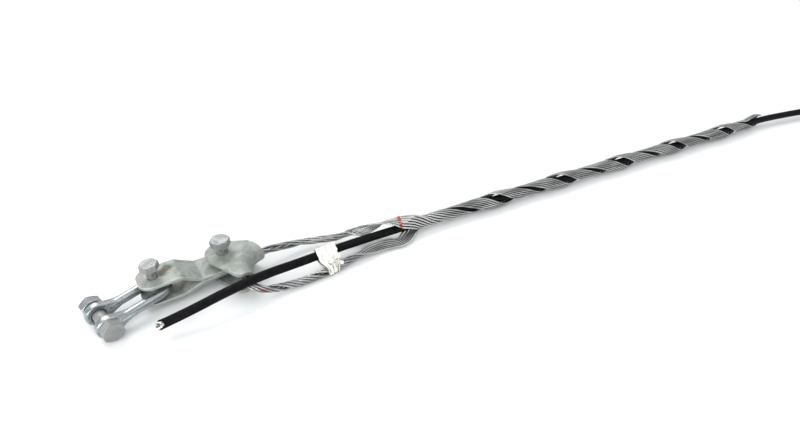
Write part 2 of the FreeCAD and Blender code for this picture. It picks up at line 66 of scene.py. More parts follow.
# Node graph of one material
class Graph:
    def __init__(self, name):
        self.material = bpy.data.materials.new(name)
        self.material.use_nodes = True
        self.nodes = self.material.node_tree.nodes
        self.links = self.material.node_tree.links
        self.shader = self.nodes["Principled BSDF"]
        self.place = self.add("ShaderNodeTexCoord").outputs["Object"]

    def add(self, kind, **values):
        node = self.nodes.new(kind)
        for key, value in values.items():
            setattr(node, key, value)
        return node

    def put(self, socket, value):
        if isinstance(value, bpy.types.NodeSocket):
            self.links.new(value, socket)
        else:
            socket.default_value = value

    def fill(self, node, **sockets):
        for name, value in sockets.items():
            self.put(node.inputs[name.replace("_", " ")], value)
        return node

    def noise(self, scale, detail=4.0, rough=0.55, stretch=None, warp=0.0):
        place = self.place
        if stretch:
            mapping = self.fill(self.add("ShaderNodeMapping"), Scale=stretch, Vector=place)
            place = mapping.outputs["Vector"]
        node = self.fill(self.add("ShaderNodeTexNoise"), Scale=scale, Detail=detail,
                         Roughness=rough, Distortion=warp, Vector=place)
        return node.outputs["Fac"]

    def voronoi(self, scale):
        return self.fill(self.add("ShaderNodeTexVoronoi"), Scale=scale, Vector=self.place)

    # Grey that is even within a cell and differs from cell to cell
    def cells(self, scale):
        grey = self.fill(self.add("ShaderNodeRGBToBW"), Color=self.voronoi(scale).outputs["Color"])
        return grey.outputs["Val"]

    # Distance from the nearest of scattered points
    def dots(self, scale):
        return self.voronoi(scale).outputs["Distance"]

    # Share of open sky over a point, low in grooves and creases
    def open_sky(self, reach):
        node = self.fill(self.add("ShaderNodeAmbientOcclusion", samples=8), Distance=reach * MM)
        return node.outputs["AO"]

    # Smooth step from a, where the value is low, to b, where it is high
    def ramp(self, value, low, high, a=0.0, b=1.0):
        node = self.add("ShaderNodeMapRange", interpolation_type="SMOOTHSTEP")
        self.fill(node, Value=value, From_Min=low, From_Max=high, To_Min=a, To_Max=b)
        return node.outputs["Result"]

    def mix(self, share, a, b):
        node = self.fill(self.add("ShaderNodeMix", data_type="RGBA"), Factor=share, A=a, B=b)
        return node.outputs["Result"]

    def maths(self, operation, a, b=0.0):
        node = self.add("ShaderNodeMath", operation=operation)
        self.put(node.inputs[0], a)
        self.put(node.inputs[1], b)
        return node.outputs["Value"]

    def axis(self, letter):
        return self.fill(self.add("ShaderNodeSeparateXYZ"), Vector=self.place).outputs[letter]

    def bump(self, height, strength, distance):
        node = self.fill(self.add("ShaderNodeBump"), Strength=strength, Distance=distance * MM,
                         Height=height)
        self.fill(self.shader, Normal=node.outputs["Normal"])

    def finish(self, colour, roughness, metallic):
        self.fill(self.shader, Base_Color=colour, Roughness=roughness, Metallic=metallic)
        return self.material


def rgb(r, g, b):
    return (r, g, b, 1.0)


def shade(colour, share):
    return rgb(*(channel * share for channel in colour[:3]))


# Texture scales of the zinc, in features a metre
CLOUDS = 75.0
BLOTCH_EDGES = 160.0
COARSE_GRAIN = 210.0
SPANGLES = 420.0
PITS = 430.0
FINE_GRAIN = 900.0
FLECKS = 1100.0

SPANGLE_TINT = rgb(0.86, 0.9, 0.9)
OLIVE = rgb(0.1, 0.092, 0.06)
SLATE = rgb(0.12, 0.145, 0.145)
DRAWN = (0.3, 1.0, 1.0)

# Blotches on the sheet metal: centre, radius, tint, strength. The two olive ones on the upper plate
# are dirt; the olive one on the lower plate, under the upper plate, is partly dirt and partly
# painted shade; the slate one at the thimble's saddle is painted shade, and the other two slate
# ones darken the zinc where they lie.
STAINS_AND_SHADE = (((60.5, 22.5, 18.7), 6.5, OLIVE, 0.95), ((66.0, 27.5, 18.7), 6.0, OLIVE, 0.95),
          ((70.8, 18.2, -3.5), 10.0, OLIVE, 0.5), ((119.0, 12.0, 18.7), 8.0, SLATE, 0.3),
          ((152.0, -10.0, 8.0), 12.0, SLATE, 0.5), ((117.0, 13.0, -5.5), 13.0, SLATE, 0.85))

# Where a blotch's strength starts to fall and where it ends, in radii and with the noise added
BLOTCH_CORE = 0.95
BLOTCH_RIM = 1.65


# Soft blotch round a point of the frame, with a ragged edge
def patch(g, centre, radius, ragged):
    offset = g.add("ShaderNodeVectorMath", operation="DISTANCE")
    g.put(offset.inputs[0], g.place)
    g.put(offset.inputs[1], Vector(centre) * MM)
    wobble = g.maths("MULTIPLY", g.noise(ragged, 5.0, 0.65), radius * MM)
    reach = g.maths("ADD", offset.outputs["Value"], wobble)
    return g.ramp(reach, radius * BLOTCH_CORE * MM, radius * BLOTCH_RIM * MM, 1.0, 0.0)


# Zinc coat: cloudy, with dark flecks, bright spangles, blotches of dirt and of painted shade, and
# painted shade where it is sheltered
def zinc(name, dark, light, metallic, rough, spangle=0.12, grain=1.0, specks=0.35, drawn=None,
         stains_and_shade=(), pits=0.0):
    g = Graph(name)
    cloud = g.ramp(g.noise(CLOUDS, 6.0, 0.62, stretch=drawn, warp=0.6), 0.33, 0.68)
    colour = g.mix(cloud, dark, light)
    flecks = g.ramp(g.noise(FLECKS, 3.0, 0.6), 0.52, 0.68, 0.0, specks)
    colour = g.mix(flecks, colour, shade(dark, 0.4))
    colour = g.mix(g.maths("MULTIPLY", g.cells(SPANGLES), spangle), colour, SPANGLE_TINT)
    if pits:
        colour = g.mix(g.ramp(g.dots(PITS), 0.14, 0.36, pits, 0.0), colour, shade(dark, 0.35))
    # Blotches from the table: dirt, and painted shade in shaded places
    for centre, radius, tint, strength in stains_and_shade:
        blotch_share = g.maths("MULTIPLY", patch(g, centre, radius, BLOTCH_EDGES), strength)
        colour = g.mix(blotch_share, colour, tint)
    # Painted shade: the coat is darkened where little open sky reaches it, in grooves and corners
    painted_shade = g.ramp(g.open_sky(4.0), 0.15, 0.7, 0.55, 0.0)
    colour = g.mix(painted_shade, colour, shade(dark, 0.3))
    dimples = g.maths("MULTIPLY", g.noise(COARSE_GRAIN), 1.6)
    g.bump(g.maths("ADD", g.noise(FINE_GRAIN, 4.0, 0.6), dimples), 0.35 * grain, 0.4)
    return g.finish(colour, g.ramp(cloud, 0.0, 1.0, rough + 0.08, rough - 0.06), metallic)


# Red paint over the first lay at the fork: its x, how far it leans with y, its ragged half width,
# and the height from which it covers the wires
PAINT_AT = 317.4
PAINT_LEAN = 0.19
PAINT_HALF = 2.6
PAINT_ABOVE = 1.5

# Stretches of wire painted paler, as painted light: round the crossing at the fork, and on the flat
# ribbon of the far leg
CROSSING_AT = 342.0
FAR_RIBBON_AT = (283.0, 17.0, -2.0)
FAR_RIBBON_REACH = 24.0


def wire_metal():
    g = Graph("grip_wire_zinc")
    # Pale colour of the painted light on two stretches of wire
    painted_light = rgb(0.8, 0.8, 0.77)
    streak = g.ramp(g.noise(160.0, 5.0, 0.6, stretch=(0.16, 1.0, 1.0)), 0.32, 0.7)
    colour = g.mix(streak, rgb(0.22, 0.225, 0.218), rgb(0.53, 0.54, 0.525))
    flecks = g.ramp(g.noise(FLECKS, 2.0), 0.56, 0.72, 0.0, 0.4)
    colour = g.mix(flecks, colour, rgb(0.14, 0.145, 0.14))
    # Painted light: paler wire round the crossing at the fork and on the far leg's flat ribbon
    apart = g.maths("ABSOLUTE", g.maths("SUBTRACT", g.axis("X"), CROSSING_AT * MM))
    colour = g.mix(g.ramp(apart, 20 * MM, 50 * MM, 0.45, 0.0), colour, painted_light)
    ribbon = g.maths("MULTIPLY", patch(g, FAR_RIBBON_AT, FAR_RIBBON_REACH, 90.0), 0.5)
    colour = g.mix(ribbon, colour, painted_light)
    # Painted shade: the wire is darkened almost to black where little open sky reaches it, in the
    # grooves between wires
    painted_shade = g.ramp(g.open_sky(2.8), 0.52, 0.97, 1.0, 0.0)
    colour = g.mix(painted_shade, colour, rgb(0.018, 0.019, 0.018))
    lean = g.maths("MULTIPLY", g.axis("Y"), PAINT_LEAN)
    along = g.maths("SUBTRACT", g.maths("SUBTRACT", g.axis("X"), lean), PAINT_AT * MM)
    ragged = g.maths("MULTIPLY", g.noise(420.0), PAINT_HALF * MM)
    across = g.maths("ADD", g.maths("ABSOLUTE", along), ragged)
    band = g.ramp(across, PAINT_HALF * MM, (PAINT_HALF + 1) * MM, 1.0, 0.0)
    over = g.ramp(g.axis("Z"), 0.0, PAINT_ABOVE * MM)
    worn = g.ramp(g.noise(700.0), 0.35, 0.6, 0.68, 0.95)
    paint = g.maths("MULTIPLY", g.maths("MULTIPLY", band, over), worn)
    colour = g.mix(paint, colour, rgb(0.36, 0.05, 0.045))
    mark = g.add("ShaderNodeAttribute", attribute_name="paint").outputs["Fac"]
    colour = g.mix(g.maths("MULTIPLY", mark, worn), colour, rgb(0.27, 0.045, 0.035))
    g.bump(g.noise(1300.0, 3.0), 0.2, 0.2)
    return g.finish(colour, g.ramp(streak, 0.0, 1.0, 0.36, 0.24), 0.8)


def sheath_black():
    g = Graph("sheath_black")
    tone = g.ramp(g.noise(240.0, 5.0), 0.35, 0.7)
    colour = g.mix(tone, rgb(0.0025, 0.0025, 0.003), rgb(0.007, 0.007, 0.008))
    scuff = g.ramp(g.noise(140.0, 6.0, 0.7, stretch=(0.2, 1.0, 1.0)), 0.6, 0.72, 0.0, 0.3)
    colour = g.mix(scuff, colour, rgb(0.03, 0.03, 0.03))
    g.bump(g.noise(1500.0, 3.0), 0.25, 0.2)
    g.fill(g.shader, Specular_IOR_Level=0.08)
    return g.finish(colour, g.ramp(g.noise(300.0), 0.3, 0.7, 0.5, 0.62), 0.0)


def tape_white():
    g = Graph("tape_white")
    tone = g.ramp(g.noise(260.0, 5.0), 0.35, 0.7)
    colour = g.mix(tone, rgb(0.7, 0.7, 0.64), rgb(0.88, 0.88, 0.85))
    # Painted shade: the tape is darkened in its creases, where little open sky reaches it
    crease_shade = g.ramp(g.open_sky(3.0), 0.4, 0.93, 0.9, 0.0)
    colour = g.mix(crease_shade, colour, rgb(0.3, 0.29, 0.2))
    # Painted shade: darker yellowish streaks, stretched along x, stand for the shade in the tape's
    # folds
    folds = g.noise(260.0, 6.0, 0.7, stretch=(1.6, 0.45, 0.45), warp=1.2)
    colour = g.mix(g.ramp(folds, 0.56, 0.66, 0.0, 0.6), colour, rgb(0.4, 0.38, 0.3))
    g.bump(g.noise(420.0, 5.0, 0.6, warp=0.8), 0.7, 1.0)
    g.fill(g.shader, Subsurface_Weight=0.1, Subsurface_Radius=(0.002, 0.002, 0.0016))
    return g.finish(colour, g.ramp(tone, 0.0, 1.0, 0.5, 0.38), 0.0)


def fibre(name, dark, light):
    g = Graph(name)
    colour = g.mix(g.ramp(g.noise(900.0), 0.35, 0.7), dark, light)
    g.bump(g.noise(2200.0, 3.0), 0.4, 0.2)
    return g.finish(colour, 0.75, 0.0)


sheet_zinc = zinc("sheet_zinc", rgb(0.205, 0.225, 0.2), rgb(0.325, 0.35, 0.315), 0.2, 0.56,
                  spangle=0.1, grain=1.1, stains_and_shade=STAINS_AND_SHADE)
sheet_edge = zinc("sheet_edge", rgb(0.36, 0.38, 0.36), rgb(0.48, 0.5, 0.47), 0.35, 0.42,
                  spangle=0.1, grain=0.7)
nut_zinc = zinc("nut_zinc", rgb(0.3, 0.32, 0.33), rgb(0.5, 0.53, 0.54), 0.95, 0.14,
                spangle=0.1, grain=0.3, drawn=DRAWN)
bright_zinc = zinc("bright_zinc", rgb(0.17, 0.19, 0.2), rgb(0.4, 0.43, 0.445), 0.9, 0.25,
                   spangle=0.16, grain=0.7, drawn=DRAWN)
bolt_zinc = zinc("bolt_zinc", rgb(0.19, 0.198, 0.192), rgb(0.3, 0.308, 0.3), 0.55, 0.34,
                 spangle=0.16, grain=1.6, specks=0.5, pits=0.75)
pin_zinc = zinc("pin_zinc", rgb(0.22, 0.225, 0.22), rgb(0.285, 0.29, 0.282), 0.45, 0.46,
                spangle=0.05, grain=0.6, specks=0.2)
wire_zinc = wire_metal()
black = sheath_black()
white_tape = tape_white()
yarn = fibre("yarn_white", rgb(0.7, 0.69, 0.63), rgb(0.93, 0.92, 0.88))
resin = fibre("resin_brown", rgb(0.05, 0.045, 0.035), rgb(0.2, 0.185, 0.155))


# Piece of the scene, riding on its body and standing for the nodes named
def keep(name, data, material, body, slot, *nodes):
    piece = bpy.data.objects.new(name, data)
    bpy.context.collection.objects.link(piece)
    data.materials.append(material)
    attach(piece, body)
    if nodes:
        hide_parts(*nodes)
    return piece


def mesh_of(name, corners, faces):
    mesh = bpy.data.meshes.new(name)
    mesh.from_pydata([Vector(corner) * MM for corner in corners], [], faces)
    for polygon in mesh.polygons:
        polygon.use_smooth = True
    mesh.update()
    return mesh


# Rings of corners joined into a tube
def skin(rings, caps=True):
    corners = [corner for ring in rings for corner in ring]
    n = len(rings[0])
    faces = []
    for i in range(len(rings) - 1):
        for k in range(n):
            q = (k + 1) % n
            faces.append((i * n + k, i * n + q, (i + 1) * n + q, (i + 1) * n + k))
    if caps:
        faces.append(tuple(reversed(range(n))))
        faces.append(tuple(range((len(rings) - 1) * n, len(rings) * n)))
    return corners, faces


# Several pairs of corners and faces put together as one
def joined(parts):
    corners = []
    faces = []
    for more, sets in parts:
        faces += [tuple(i + len(corners) for i in face) for face in sets]
        corners += more
    return corners, faces


def circle(steps):
    return [k * math.tau / steps for k in range(steps)]


# Cords: the tail that is bent back past the thimble, and the cable towards the span
AXIS_SIDE = 7.6
AXIS_SLOPE = 0.0045
AXIS_HEIGHT = 10.6
CABLE_START = 353.0
CABLE_END = 945.0
CABLE_RADIUS = 4.8
SPAN_LEAD = 17.0


def above(x, y, height):
    return Vector((x, y, FLOOR + height))


def axis_at(x):
    return above(x, AXIS_SIDE + AXIS_SLOPE * (x - CABLE_START), AXIS_HEIGHT)


TAIL = [axis_at(CABLE_START), above(300, 6.6, 10.8), above(244, 3.2, 12.3),
        above(196, -7.3, 17.0), above(152, -18.5, 24.5), above(112, -25.5, 22.9),
        above(75, -30.4, 17.2), above(52.5, -32.0, 14.1)]
SPAN = [axis_at(CABLE_END), axis_at(CABLE_END + SPAN_LEAD), above(1032, 1.4, 10.6),
        above(1099, -8.6, 10.9)]


# The points carry the cable's radius, because a curve's box grows by each point's radius
def cord_curve(name, route):
    curve = bpy.data.curves.new(name, "CURVE")
    curve.dimensions = "3D"
    curve.bevel_depth = 1.0
    curve.bevel_resolution = 7
    curve.resolution_u = 24
    curve.use_fill_caps = True
    spline = curve.splines.new("NURBS")
    spline.points.add(len(route) - 1)
    for point, place in zip(spline.points, route):
        point.co = (*(place * MM), 1.0)
        point.radius = CABLE_RADIUS * MM
    spline.order_u = 3
    spline.use_endpoint_u = True
    return curve


def route_length(curve):
    probe = bpy.data.objects.new("probe", curve)
    depth = curve.bevel_depth
    curve.bevel_depth = 0.0
    line = bpy.data.meshes.new_from_object(probe)
    curve.bevel_depth = depth
    bpy.data.objects.remove(probe)
    places = [vertex.co.copy() for vertex in line.vertices]
    bpy.data.meshes.remove(line)
    return sum((b - a).length for a, b in zip(places, places[1:]))


tail_curve = cord_curve("cable_tail_sheath", TAIL)
tail = keep("cable_tail_sheath", tail_curve, black, "grip", "sheath", "cable_tail")
span_curve = cord_curve("cable_span_sheath", SPAN)
span = keep("cable_span_sheath", span_curve, black, "grip", "sheath", "cable_span")

# Bared end of the tail. The rim's rings give what is added to the cable's radius, how far ahead
# of the tip the ring lies, and how ragged it is.
RIM_SIDES = 40
RIM = ((0.0, -0.4, 0.0), (0.05, 0.6, 0.6), (0.2, 1.6, 3.2), (-0.25, 2.0, 3.5), (-1.2, 1.8, 3.2),
       (-1.4, 0.9, 1.4), (-1.45, -0.4, 0.0))
# The torn rim dips to either side of two lips: how deep, and the phase of the dips
LIP = 0.7
LIP_PHASE = 1.5
# A stick's share of its length and of its radius, from its root to its end
STICK = ((0.0, 1.0), (0.55, 1.04), (0.9, 0.95), (1.0, 0.62))
# Rows of yarns: how many, and how far from the axis
YARN_ROWS = ((1, 0.0), (6, 1.1), (12, 2.15))
YARN_RADIUS = 0.66
YARN_SPREAD = 0.09
# Shards of the rod: root and lean as (ahead, side, up) and (side, up), radius, length, sides
SHARDS = (((2.6, 0.0, 0.0), (0.05, 0.0), 1.2, 5.6, 7), ((2.8, 0.0, 1.5), (0.0, 0.35), 0.7, 4.6, 6),
          ((2.6, -1.4, 0.0), (-0.4, 0.0), 0.6, 4.2, 6),
          ((2.7, 2.2, -1.2), (0.45, -0.2), 0.6, 4.4, 6),
          ((2.2, 1.9, 1.9), (0.3, 0.3), 0.55, 3.6, 6))


def stick(place, way, radius, length, sides):
    way = way.normalized()
    a = UP.cross(way).normalized()
    b = way.cross(a)
    return skin([[place + way * length * along
                  + (a * math.cos(angle) + b * math.sin(angle)) * radius * share
                  for angle in circle(sides)] for along, share in STICK])


# Ragged rim of the sheath, yarns and the broken rod
def bared_end():
    tip = TAIL[-1]
    out = (TAIL[-1] - TAIL[-2]).normalized()
    side = UP.cross(out).normalized()
    up = out.cross(side)

    def tear(angle):
        spot = Vector((math.cos(angle) * 3.4, math.sin(angle) * 3.4, 3.0))
        return noise.noise(spot) - LIP * math.cos(2 * angle - LIP_PHASE)

    rings = [[tip + (side * math.cos(angle) + up * math.sin(angle)) * (CABLE_RADIUS + more)
              + out * (ahead + ragged * tear(angle)) for angle in circle(RIM_SIDES)]
             for more, ahead, ragged in RIM]
    rim_mesh = mesh_of("sheath_rim", *skin(rings, caps=False))
    rim = keep("sheath_rim", rim_mesh, black, "grip", "sheath")

    yarns = []
    for count, radius in YARN_ROWS:
        for k, angle in enumerate(circle(count)):
            angle += radius
            aside = side * math.cos(angle) + up * math.sin(angle)
            length = 4.6 + 1.7 * noise.noise(Vector((k * 1.7, radius * 3.1, 0.4)))
            yarns.append(stick(tip + aside * radius - out * 0.4,
                               out + aside * YARN_SPREAD * radius, YARN_RADIUS, length, 9))
    yarn_mesh = mesh_of("yarn_ends", *joined(yarns))
    ends = keep("yarn_ends", yarn_mesh, yarn, "grip", "yarn", "cable_core")

    shards = [stick(tip + out * ahead + side * aside + up * lift,
                    out + side * lean + up * rise, radius, length, sides)
              for (ahead, aside, lift), (lean, rise), radius, length, sides in SHARDS]
    shard_mesh = mesh_of("rod_shards", *joined(shards))
    core = keep("rod_shards", shard_mesh, resin, "grip", "rod", "strength_rod")
    return [rim, ends, core]


end_pieces = bared_end()
route_length(tail_curve)
route_length(span_curve)

# Wires of the grip, on the same course as their solids but round and finer. The six lie side by
# side on an arc. A row of the course gives x, y, z, the turn of the arc about the course in
# degrees, the distance from the course to the middle of the arc, and the arc's curvature.
TURN = 3
CURL = 5
WIRES = 6
WIRE_RADIUS = 1.12
WIRE_SIDES = 10
WIRE_TIP = 0.8
WIRE_SPACE = 2.56
STRAND_RADIUS = 3.2

# Even lay about the cable
PITCH = 102.2
LAY_START = 403.5
LAY_TURN = 410.4
THIN = 6.55
THICK = 9.25
GRIP_END = 948.0
# Length at the grip's end over which the first lay runs straight along the cable
STRAIGHT_END = 36
FIRST_TURN = 90
SECOND_TURN = 1170
FORK = 318
SECOND_START = 337.0
COARSE = PITCH / 9
FINE = PITCH / 40
LOOP_STEP = 2.1

# Share of the way from THIN to THICK over one pitch, and the stretch where the radius swells
SWELL = ((0.0, 1.0), (0.1, 0.72), (0.24, 0.12), (0.45, 0.0), (0.6, 0.12), (0.8, 0.62),
         (0.92, 0.95), (1.0, 1.0))
SWELL_FROM = 400
SWELL_TO = 925
# What is added to the radius of each lay at the fork, at each x
FORK_FIRST = ((318, 0.6), (340, 0.6), (355, 0.3), (400, 0.0))
FORK_SECOND = ((318, 4.2), (328, 3.0), (340, 1.4), (355, 0.4), (390, 0.1), (400, 0.0))
# Height of the first lay over the axis, and how round its arc is
RISE = ((318, 4.8), (335, 4.0), (346, 2.0), (357, 0.7), (370, 0.0))
FLAT = ((318, 0.35), (337, 0.45), (350, 0.8), (362, 1.0))
# What is added to the first lay's radius near the grip's end
ARCH = ((-31, 0.0), (-16, 3.0), (-8, 3.8), (0, 2.2))
# Widening of the space between the wires
PARTED = ((0, 1.0), (312, 1.0), (322, 1.16), (360, 1.22), (380, 1.05), (400, 1.0))
# Degrees by which each lay keeps behind the even one
FIRST_LAG = ((318, 4), (323, 6), (335, 22), (346, 24), (357, 12), (369, 0))
SECOND_LAG = ((336, 82), (341, 62), (346, 44), (351, 27), (357, 13), (364, 3), (370, 0))
# Stretch of the near leg that is twisted tighter than the ribbons, by one whole turn
NEAR_TWIST = (132, 252)
# Slant of the second ribbon's cross-section as it folds over at the fork
FOLD = ((284, 0.0), (300, 0.5), (322, 0.6), (330, 0.35), (340, 0.0))
FOLD_TURN = 1200

# Loop round the thimble's saddle; heights are over the floor
SADDLE = Vector((168.8, -3.9))
BIGHT_RADIUS = 24.7 + 3.5 + 5.4
BIGHT_ANGLES = (*range(88, 180, 13), 191)
BIGHT_HEIGHT = 16.3
RIBBON_OUT = [(306, 11.6, 15.8, 20, 5.5, 0.07), (298, 13.0, 17.8, 47, 2.6, 0.08),
              (289, 14.9, 17.2, 72, 2.0, 0.09), (280, 16.9, 15.8, 104, 2.0, 0.12),
              (270, 19.7, 14.0, 148, 2.4, 0.2), (260, 24.2, 11.6, 200, 2.9, 0.29)]
FAR_LEG = [(244.6, 27.2, 8.5), (228, 31.2, 8.6), (212, 33.2, 9.4), (197, 33.2, 11.2),
           (183, 31.4, 13.8)]
NEAR_LEG = [(138.6, -17.2, 14.6), (145.6, -21.6, 11.6), (156, -23.9, 8.6), (169, -24.6, 6.6),
            (187.3, -24.2, 5.4), (207.8, -22.3, 5.2), (222.5, -19.8, 5.3), (237, -16.6, 5.6)]
RIBBON_BACK = [(249, -13.6, 6.4, 1190, 3.2, 0.29), (261, -10.8, 7.4, 1233, 3.6, 0.18),
               (274, -8.7, 8.8, 1266, 4.0, 0.08), (288, -8.4, 9.4, 1280, 4.6, 0.05),
               (302, -8.6, 9.4, 1276, 5.6, 0.05), (311, -8.8, 9.2, 1268, 6.3, 0.05),
               (318.5, -6.4, 9.4, 1262, 6.9, 0.05), (325, -1.6, 9.8, 1262, 7.3, 0.06),
               (331, 3.2, 10.2, 1262, 7.8, 0.08)]

# Line along which one wire of the near leg is painted, and how far from it the paint reaches
PAINTED = [Vector(point) for point in ((139.5, -14.5, 6.8), (142, -18.6, 4.6),
                                       (147.2, -25.2, -1.0), (151.3, -26.4, -3.8))]
PAINT_REACH = 1.75


# Value of a table of (place, value) pairs at a place
def between(keys, at):
    for (p, a), (q, b) in zip(keys, keys[1:]):
        if at <= q:
            return a + (b - a) * (at - p) / (q - p)
    return keys[-1][1]


def within(share):
    return max(0.0, min(1.0, share))


def lay_radius(x):
    phase = ((x - LAY_START) / PITCH - 0.5) % 1.0
    swell = between(SWELL, phase) if SWELL_FROM < x < SWELL_TO else 0.0
    return THIN + (THICK - THIN) * swell


def lay_angle(x):
    return LAY_TURN + 360 * (x - LAY_START) / PITCH


def first_lay(x):
    turn = FIRST_TURN - lay_angle(min(x, GRIP_END - STRAIGHT_END)) + between(FIRST_LAG, x)
    radius = lay_radius(x) + between(FORK_FIRST, x)
    arch = between(ARCH, max(x - GRIP_END, ARCH[0][0]))
    return [*(axis_at(x) + UP * between(RISE, x)), turn, radius + arch, between(FLAT, x) / radius]


def second_lay(x):
    turn = lay_angle(x) + SECOND_TURN - between(SECOND_LAG, x)
    radius = lay_radius(x) + between(FORK_SECOND, x)
    return [*axis_at(x), turn, radius, 1 / radius]


# Smooth course through rows of numbers, with a step of about the spacing
def blend(rows, spacing):
    out = []
    last = len(rows) - 1
    for i in range(last):
        four = [rows[max(i - 1, 0)], rows[i], rows[i + 1], rows[min(i + 2, last)]]
        cuts = max(1, round(math.dist(four[1][:3], four[2][:3]) / spacing))
        for k in range(cuts):
            t = k / cuts
            out.append([(2 * b + (c - a) * t + (2 * a - 5 * b + 4 * c - d) * t * t
                         + (3 * b - a - 3 * c + d) * t ** 3) / 2 for a, b, c, d in zip(*four)])
    out.append(list(rows[-1]))
    return out


def twist_near_leg(rows):
    back = min(range(len(rows)), key=lambda i: rows[i][0])
    begin, end = NEAR_TWIST
    for row in rows[back:]:
        share = within((row[0] - begin) / (end - begin))
        row[TURN] += 360 * share * share * (3 - 2 * share)
    return rows


# Out along the far leg, round the saddle and back along the near leg, turning evenly
def loop_rows():
    points = list(FAR_LEG)
    for angle in BIGHT_ANGLES:
        a = math.radians(angle)
        arm = Vector((math.cos(a), math.sin(a))) * BIGHT_RADIUS
        points.append((SADDLE.x + arm.x, SADDLE.y + arm.y, BIGHT_HEIGHT))
    points += NEAR_LEG
    trail = [RIBBON_OUT[-1][:3], *points, RIBBON_BACK[0][:3]]
    lengths = [0.0]
    for a, b in zip(trail, trail[1:]):
        lengths.append(lengths[-1] + math.dist(a, b))
    start = RIBBON_OUT[-1][TURN]
    rate = (RIBBON_BACK[0][TURN] - start) / lengths[-1]
    strand = [(*point, start + rate * length, STRAND_RADIUS, 1 / STRAND_RADIUS)
              for point, length in zip(points, lengths[1:])]
    return [(x, y, FLOOR + height, *rest)
            for x, y, height, *rest in RIBBON_OUT + strand + RIBBON_BACK]


def wire_course():
    first_end = GRIP_END - int((GRIP_END - FORK) / COARSE) * COARSE
    steps = round((GRIP_END - first_end) / FINE)
    course = [first_lay(GRIP_END + (first_end - GRIP_END) * k / steps) for k in range(steps + 1)]
    loop = blend([course[-1], *loop_rows(), second_lay(SECOND_START)], LOOP_STEP)
    course += twist_near_leg(loop[1:])
    steps = round((GRIP_END - SECOND_START) / FINE)
    return course + [second_lay(SECOND_START + (GRIP_END - SECOND_START) * k / steps)
                     for k in range(1, steps + 1)]


# Direction of a line of points at point i
def heading(points, i):
    return (points[min(i + 1, len(points) - 1)] - points[max(i - 1, 0)]).normalized()


# At each row, the way across the arc, the way to its hollow side, and its middle
def wire_frames(course):
    centres = [Vector(row[:3]) for row in course]
    frames = []
    for i, (x, _, _, turn, radius, _) in enumerate(course):
        ahead = heading(centres, i)
        left = UP.cross(ahead).normalized()
        up = ahead.cross(left)
        angle = math.radians(turn)
        across = left * math.cos(angle) + up * math.sin(angle)
        hollow = across.cross(ahead)
        if turn > FOLD_TURN and FOLD[0][0] < x < FOLD[-1][0]:
            across = across + ahead * between(FOLD, x)
        frames.append((across, hollow, centres[i] - hollow * radius))
    return frames


def wire_places(index, course, frames):
    middles = [middle for _, _, middle in frames]
    places = []
    for i, (row, (across, hollow, middle)) in enumerate(zip(course, frames)):
        way = heading(middles, i)
        curl = row[CURL]
        space = WIRE_SPACE / (across - way * across.dot(way)).length * between(PARTED, row[0])
        angle = (index - (WIRES - 1) / 2) * 2 * math.asin(min(space * curl / 2, 0.5))
        places.append(middle + (across * math.sin(angle) + hollow * (1 - math.cos(angle))) / curl)
    return places


def stretch_distance(spot, a, b):
    share = within((spot - a).dot(b - a) / (b - a).length_squared)
    return (spot - a - (b - a) * share).length


def grip_wire(index, course, frames):
    places = wire_places(index, course, frames)
    rings = []
    up = frames[0][0]
    for i, place in enumerate(places):
        way = heading(places, i)
        up = (up - way * up.dot(way)).normalized()
        side = way.cross(up)
        radius = WIRE_RADIUS * (WIRE_TIP if i in (0, len(places) - 1) else 1.0)
        rings.append([place + (up * math.cos(angle) + side * math.sin(angle)) * radius
                      for angle in circle(WIRE_SIDES)])
    corners, faces = skin(rings)
    mesh = mesh_of(f"wire_{index + 1}", corners, faces)
    paint = mesh.attributes.new("paint", "FLOAT", "POINT")
    for entry, spot in zip(paint.data, corners):
        off = min(stretch_distance(spot, a, b) for a, b in zip(PAINTED, PAINTED[1:]))
        entry.value = 1.0 if off < PAINT_REACH else 0.0
    name = f"grip_wire_{index + 1}"
    keep(name + "_round", mesh, wire_zinc, "grip", "grip_wire", name)


course = wire_course()
frames = wire_frames(course)
for index in range(WIRES):
    grip_wire(index, course, frames)

# Tape that ties the tail to the near leg: one loop round both, tight on the tail and crumpled on
# the leg. The hems give x at each share of the way from the tail down to the leg.
TAPE_FROM = 213.5
TAPE_TO = 237.0
TAPE_COLUMNS = 40
TAPE_THICKNESS = 0.25
TAPE_LOWEST = 0.4
LEFT_HEM = ((0.0, 213.6), (0.35, 213.4), (0.55, 214.4), (0.8, 217.6), (1.0, 219.5))
RIGHT_HEM = ((0.0, 237.2), (0.3, 237.0), (0.6, 237.4), (0.8, 235.8), (1.0, 232.5))
# The tail and the leg inside the tape: y and height at TIED_FROM, and their change over TIED_RUN
TIED_FROM = 214
TIED_RUN = 23
TIED_TAIL = (-3.3, 15.2, 5.2, -2.3)
TIED_LEG = (-21.4, 5.6, 4.4, 0.1)
# Over the tail and under the leg the tape bends in steps of so many degrees, at so many mm from
# their middles, and it is slack on the tail. Between them it runs down one side and up the other.
OVER_STEP = 17
UNDER_STEP = 18
TAIL_CLEAR = 5.5
LEG_CLEAR = 4.85
SLACK = 1.9
DOWN_SHARES = (0.2, 0.33, 0.46, 0.59, 0.72, 0.85)
UP_SHARES = (0.88, 0.78, 0.68, 0.58, 0.48, 0.38, 0.29, 0.2, 0.12)

FLAP_ROWS = 14
FLAP_COLUMNS = 6
